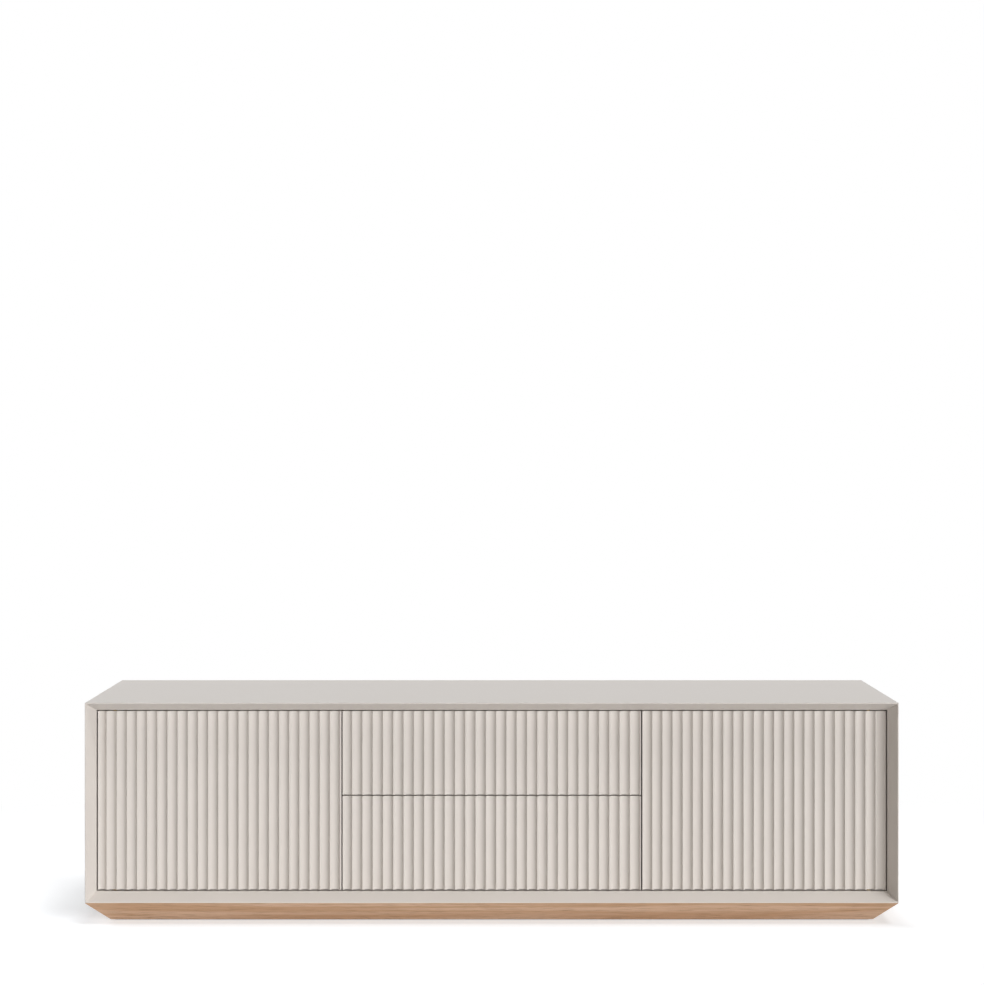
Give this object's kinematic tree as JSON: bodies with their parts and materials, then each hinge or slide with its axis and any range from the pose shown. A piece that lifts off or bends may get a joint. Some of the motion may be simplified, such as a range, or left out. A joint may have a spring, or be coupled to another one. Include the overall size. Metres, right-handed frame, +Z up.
{
  "type": "media cabinet",
  "caption": "Low lacquered media cabinet with fluted push-open doors and drawers, bevelled front edges and a tapered oak plinth.",
  "frame": {"origin": "on the floor, under the middle of the cabinet", "axes": "+X to the right along the width, the doors and drawers face -Y, +Z up"},
  "size_m": [1.65, 0.45, 0.45],
  "materials": {
    "greige_lacquer": "satin lacquer over board",
    "oak": "matte oiled oak",
    "birch": "clear-lacquered birch ply",
    "brass": "brushed",
    "zinc_steel": "zinc plated",
    "bright_steel": "bright",
    "grey_plastic": "moulded",
    "dark_plastic": "moulded"
  },
  "bodies": {
    "carcase": {"top_panel": "greige_lacquer", "bottom_panel": "greige_lacquer", "left_side": "greige_lacquer", "right_side": "greige_lacquer", "left_partition": "greige_lacquer", "right_partition": "greige_lacquer", "back_panel": "greige_lacquer", "corner_splines": "birch", "partition_dowels": "birch", "back_panel_screws": "zinc_steel", "plinth_front": "oak", "plinth_back": "oak", "plinth_left": "oak", "plinth_right": "oak", "plinth_cross_rails": "birch", "plinth_corner_blocks": "birch", "plinth_screws": "zinc_steel", "glides": "dark_plastic", "left_shelf": "greige_lacquer", "right_shelf": "greige_lacquer", "shelf_pins": "bright_steel", "cable_grommets": "grey_plastic", "pivot_plates": "brass", "hardware_screws": "zinc_steel", "runner_cabinet_members": "zinc_steel", "latch_housings": "grey_plastic"},
    "left_door": {"left_door": "greige_lacquer", "left_door_leaves": "brass", "left_door_screws": "zinc_steel", "left_door_strike": "bright_steel"},
    "right_door": {"right_door": "greige_lacquer", "right_door_leaves": "brass", "right_door_screws": "zinc_steel", "right_door_strike": "bright_steel"},
    "upper_drawer": {"upper_drawer_front": "greige_lacquer", "upper_drawer_left_side": "birch", "upper_drawer_right_side": "birch", "upper_drawer_box_front": "birch", "upper_drawer_back": "birch", "upper_drawer_bottom": "birch", "upper_drawer_members": "zinc_steel", "upper_drawer_strikes": "bright_steel", "upper_drawer_screws": "zinc_steel"},
    "upper_runner_middles": {"upper_middle_members": "bright_steel", "upper_ball_cages": "bright_steel"},
    "lower_drawer": {"lower_drawer_front": "greige_lacquer", "lower_drawer_left_side": "birch", "lower_drawer_right_side": "birch", "lower_drawer_box_front": "birch", "lower_drawer_back": "birch", "lower_drawer_bottom": "birch", "lower_drawer_members": "zinc_steel", "lower_drawer_strikes": "bright_steel", "lower_drawer_screws": "zinc_steel"},
    "lower_runner_middles": {"lower_middle_members": "bright_steel", "lower_ball_cages": "bright_steel"},
    "left_door_latch": {"left_door_plunger": "dark_plastic"},
    "right_door_latch": {"right_door_plunger": "dark_plastic"},
    "upper_drawer_latches": {"upper_drawer_plungers": "dark_plastic"},
    "lower_drawer_latches": {"lower_drawer_plungers": "dark_plastic"}
  },
  "joints": [
    {"name": "left_door_hinge", "type": "hinge", "parent": "carcase", "child": "left_door", "pos_m": [-0.7704, -0.181, 0.247], "axis": [0, 0, -1], "range_deg": [0, 105]},
    {"name": "right_door_hinge", "type": "hinge", "parent": "carcase", "child": "right_door", "pos_m": [0.7704, -0.181, 0.247], "axis": [0, 0, 1], "range_deg": [0, 105]},
    {"name": "upper_drawer_slide", "type": "slide", "parent": "carcase", "child": "upper_drawer", "axis": [0, -1, 0], "range_m": [0, 0.35]},
    {"name": "lower_drawer_slide", "type": "slide", "parent": "carcase", "child": "lower_drawer", "axis": [0, -1, 0], "range_m": [0, 0.35]},
    {"name": "upper_runner_slide", "type": "slide", "parent": "carcase", "child": "upper_runner_middles", "axis": [0, -1, 0], "range_m": [0, 0.175]},
    {"name": "lower_runner_slide", "type": "slide", "parent": "carcase", "child": "lower_runner_middles", "axis": [0, -1, 0], "range_m": [0, 0.175]},
    {"name": "left_latch_slide", "type": "slide", "parent": "carcase", "child": "left_door_latch", "axis": [0, -1, 0], "range_m": [0, 0.014]},
    {"name": "right_latch_slide", "type": "slide", "parent": "carcase", "child": "right_door_latch", "axis": [0, -1, 0], "range_m": [0, 0.014]},
    {"name": "upper_latch_slide", "type": "slide", "parent": "carcase", "child": "upper_drawer_latches", "axis": [0, -1, 0], "range_m": [0, 0.014]},
    {"name": "lower_latch_slide", "type": "slide", "parent": "carcase", "child": "lower_drawer_latches", "axis": [0, -1, 0], "range_m": [0, 0.014]}
  ],
  "couplings": [
    {"joint": "upper_runner_slide", "follows": "upper_drawer_slide", "ratio": 0.5},
    {"joint": "lower_runner_slide", "follows": "lower_drawer_slide", "ratio": 0.5},
    {"joint": "left_latch_slide", "follows": "left_door_hinge", "m_per_rad": 0.007639},
    {"joint": "right_latch_slide", "follows": "right_door_hinge", "m_per_rad": 0.007639},
    {"joint": "upper_latch_slide", "follows": "upper_drawer_slide", "ratio": 0.04},
    {"joint": "lower_latch_slide", "follows": "lower_drawer_slide", "ratio": 0.04}
  ]
}
